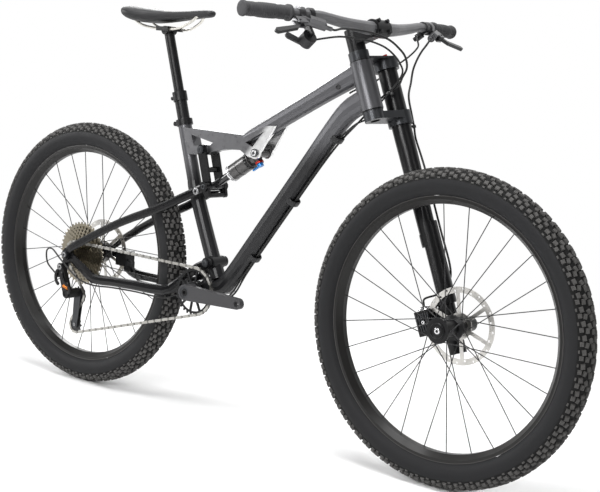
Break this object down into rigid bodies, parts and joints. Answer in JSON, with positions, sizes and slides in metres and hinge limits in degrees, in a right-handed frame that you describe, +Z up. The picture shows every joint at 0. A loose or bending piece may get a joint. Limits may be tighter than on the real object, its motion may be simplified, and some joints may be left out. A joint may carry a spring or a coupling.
{
  "type": "mountain bike",
  "caption": "Full-suspension mountain bike with a single-leg fork, disc brakes, one chainring, a dropper seat post and bare crank ends that take threaded pedals.",
  "frame": {"origin": "on the ground, midway between the axles, in the bike's mid-plane", "axes": "+X forward, +Y to the rider's left, +Z up"},
  "size_m": [1.8976, 0.8128, 1.0469],
  "materials": {
    "graphite_paint": "satin metallic graphite paint",
    "black_paint": "satin black paint",
    "dark_alloy": "dark grey anodised alloy",
    "polished_alloy": "polished alloy",
    "steel": "plain steel",
    "tyre_rubber": "black tyre rubber",
    "rim_black": "dark anodised rim",
    "grip_rubber": "dark grey grip rubber",
    "hose_black": "black hose sleeve",
    "control_black": "black control housing",
    "saddle_cover": "black padded cover",
    "red_alloy": "red anodised alloy",
    "blue_alloy": "blue anodised alloy"
  },
  "bodies": {
    "frame": {"head_tube": "graphite_paint", "top_tube": "graphite_paint", "shock_yoke": "polished_alloy", "down_tube": "graphite_paint", "seat_tube": "graphite_paint", "bottom_bracket_shell": "black_paint", "bearing_cups": "black_paint", "seat_collar": "black_paint", "dropper_outer": "black_paint", "pivot_bolts": "polished_alloy", "control_lines": "hose_black"},
    "steering": {"steerer_tube": "black_paint", "fork_crowns": "dark_alloy", "fork_outer_leg": "dark_alloy", "stem": "black_paint", "handlebar": "black_paint", "grips": "grip_rubber", "brake_masters": "control_black", "shifter_body": "control_black", "dropper_remote": "control_black", "front_brake_hose": "hose_black"},
    "damper_knob": {"damper_knob": "red_alloy"},
    "brake_blade_left": {"brake_blade_left": "polished_alloy"},
    "brake_blade_right": {"brake_blade_right": "polished_alloy"},
    "shift_paddle": {"shift_paddle": "control_black"},
    "dropper_paddle": {"dropper_paddle": "control_black"},
    "fork_lower": {"fork_inner_leg": "black_paint", "front_caliper": "black_paint", "leg_guard": "control_black"},
    "front_wheel": {"front_tyre": "tyre_rubber", "front_rim": "rim_black", "front_spokes": "rim_black", "front_hub": "black_paint", "front_rotor": "steel"},
    "swingarm": {"chainstays": "black_paint", "rear_axle": "dark_alloy", "derailleur_body": "black_paint", "derailleur_cage": "dark_alloy", "rear_caliper": "black_paint", "swingarm_lines": "hose_black", "chain": "steel"},
    "seatstays": {"seatstays": "black_paint"},
    "rear_wheel": {"rear_tyre": "tyre_rubber", "rear_rim": "rim_black", "rear_spokes": "rim_black", "rear_hub": "black_paint", "rear_rotor": "steel"},
    "cassette": {"cassette": "steel"},
    "crank": {"crank_arms": "dark_alloy", "crank_spindle": "polished_alloy", "chainring": "black_paint"},
    "rocker": {"rocker_links": "black_paint"},
    "shock_can": {"shock_can": "black_paint"},
    "shock_shaft": {"shock_shaft": "polished_alloy"},
    "shock_lever": {"shock_lever": "blue_alloy"},
    "guide_pulley": {"guide_pulley": "control_black"},
    "tension_pulley": {"tension_pulley": "control_black"},
    "seat": {"seat_post": "black_paint", "saddle_rails": "polished_alloy", "saddle": "saddle_cover"}
  },
  "joints": [
    {"name": "steering", "type": "hinge", "parent": "frame", "child": "steering", "pos_m": [0.34219, 0, 0.82998], "axis": [-0.3827, 0, 0.9239], "range_deg": [-45, 45], "deforming": ["control_lines"]},
    {"name": "fork_travel", "type": "slide", "parent": "steering", "child": "fork_lower", "axis": [-0.3827, 0, 0.9239], "range_m": [0, 0.12], "stiffness_N_per_m": 8000, "springref_m": -0.02, "deforming": ["front_brake_hose"]},
    {"name": "front_wheel_spin", "type": "hinge", "parent": "fork_lower", "child": "front_wheel", "pos_m": [0.5869, 0, 0.362], "axis": [0, 1, 0], "continuous": true},
    {"name": "swingarm_pivot", "type": "hinge", "parent": "frame", "child": "swingarm", "pos_m": [-0.11282, 0, 0.407], "axis": [0, 1, 0], "range_deg": [0, 13], "stiffness_Nm_per_rad": 1300, "springref_deg": -2.86, "deforming": ["chain", "swingarm_lines"]},
    {"name": "seatstay_flex", "type": "hinge", "parent": "swingarm", "child": "seatstays", "pos_m": [-0.5869, 0, 0.362], "axis": [0, 1, 0], "range_deg": [-2.4, 0]},
    {"name": "rear_wheel_spin", "type": "hinge", "parent": "swingarm", "child": "rear_wheel", "pos_m": [-0.5869, 0, 0.362], "axis": [0, 1, 0], "continuous": true},
    {"name": "crank_spin", "type": "hinge", "parent": "frame", "child": "crank", "pos_m": [-0.13282, 0, 0.333], "axis": [0, 1, 0], "continuous": true},
    {"name": "cassette_spin", "type": "hinge", "parent": "swingarm", "child": "cassette", "pos_m": [-0.5869, 0, 0.362], "axis": [0, 1, 0], "continuous": true},
    {"name": "guide_pulley_spin", "type": "hinge", "parent": "swingarm", "child": "guide_pulley", "pos_m": [-0.5619, 0, 0.251], "axis": [0, 1, 0], "continuous": true},
    {"name": "tension_pulley_spin", "type": "hinge", "parent": "swingarm", "child": "tension_pulley", "pos_m": [-0.5689, 0, 0.167], "axis": [0, 1, 0], "continuous": true},
    {"name": "rocker_pivot", "type": "hinge", "parent": "frame", "child": "rocker", "pos_m": [-0.15982, 0, 0.691], "axis": [0, 1, 0], "range_deg": [-26.5, 0]},
    {"name": "shock_swing", "type": "hinge", "parent": "frame", "child": "shock_can", "pos_m": [0.01918, 0, 0.7], "axis": [0, 1, 0], "range_deg": [-2, 0]},
    {"name": "shock_slide", "type": "slide", "parent": "shock_can", "child": "shock_shaft", "axis": [0.8354, 0, 0.5496], "range_m": [0, 0.043]},
    {"name": "shock_lever_turn", "type": "hinge", "parent": "shock_can", "child": "shock_lever", "pos_m": [0.00414, 0, 0.69011], "axis": [0.5496, 0, -0.8354], "range_deg": [0, 90]},
    {"name": "seat_drop", "type": "slide", "parent": "frame", "child": "seat", "axis": [-0.3057, 0, 0.9521], "range_m": [-0.125, 0], "stiffness_N_per_m": 250, "springref_m": 0.25},
    {"name": "brake_lever_left", "type": "hinge", "parent": "steering", "child": "brake_blade_left", "pos_m": [0.32955, 0.27524, 1.00989], "axis": [0.6041, 0.1186, 0.788], "range_deg": [0, 13], "stiffness_Nm_per_rad": 1.5, "springref_deg": -8.59},
    {"name": "brake_lever_right", "type": "hinge", "parent": "steering", "child": "brake_blade_right", "pos_m": [0.32955, -0.27524, 1.00989], "axis": [-0.6041, 0.1186, -0.788], "range_deg": [0, 13], "stiffness_Nm_per_rad": 1.5, "springref_deg": -8.59},
    {"name": "shift_paddle_push", "type": "hinge", "parent": "steering", "child": "shift_paddle", "pos_m": [0.3013, -0.21975, 0.96729], "axis": [0.7732, -0.1518, 0.6157], "range_deg": [0, 25], "stiffness_Nm_per_rad": 0.6, "springref_deg": -11.46},
    {"name": "dropper_paddle_push", "type": "hinge", "parent": "steering", "child": "dropper_paddle", "pos_m": [0.29864, 0.21923, 1.00325], "axis": [-0.7732, -0.1518, -0.6157], "range_deg": [0, 20], "stiffness_Nm_per_rad": 0.6, "springref_deg": -11.46},
    {"name": "damper_knob_turn", "type": "hinge", "parent": "steering", "child": "damper_knob", "pos_m": [0.30289, 0.088, 0.94575], "axis": [-0.3827, 0, 0.9239], "range_deg": [0, 90]}
  ],
  "couplings": [
    {"joint": "cassette_spin", "follows": "crank_spin", "ratio": 1.7647},
    {"joint": "guide_pulley_spin", "follows": "crank_spin", "ratio": -2.7273},
    {"joint": "tension_pulley_spin", "follows": "crank_spin", "ratio": 2.7273},
    {"joint": "seatstay_flex", "follows": "swingarm_pivot", "ratio": -0.17236},
    {"joint": "rocker_pivot", "follows": "swingarm_pivot", "ratio": -1.9693},
    {"joint": "shock_swing", "follows": "swingarm_pivot", "ratio": -0.13643},
    {"joint": "shock_slide", "follows": "swingarm_pivot", "m_per_rad": 0.18424}
  ]
}
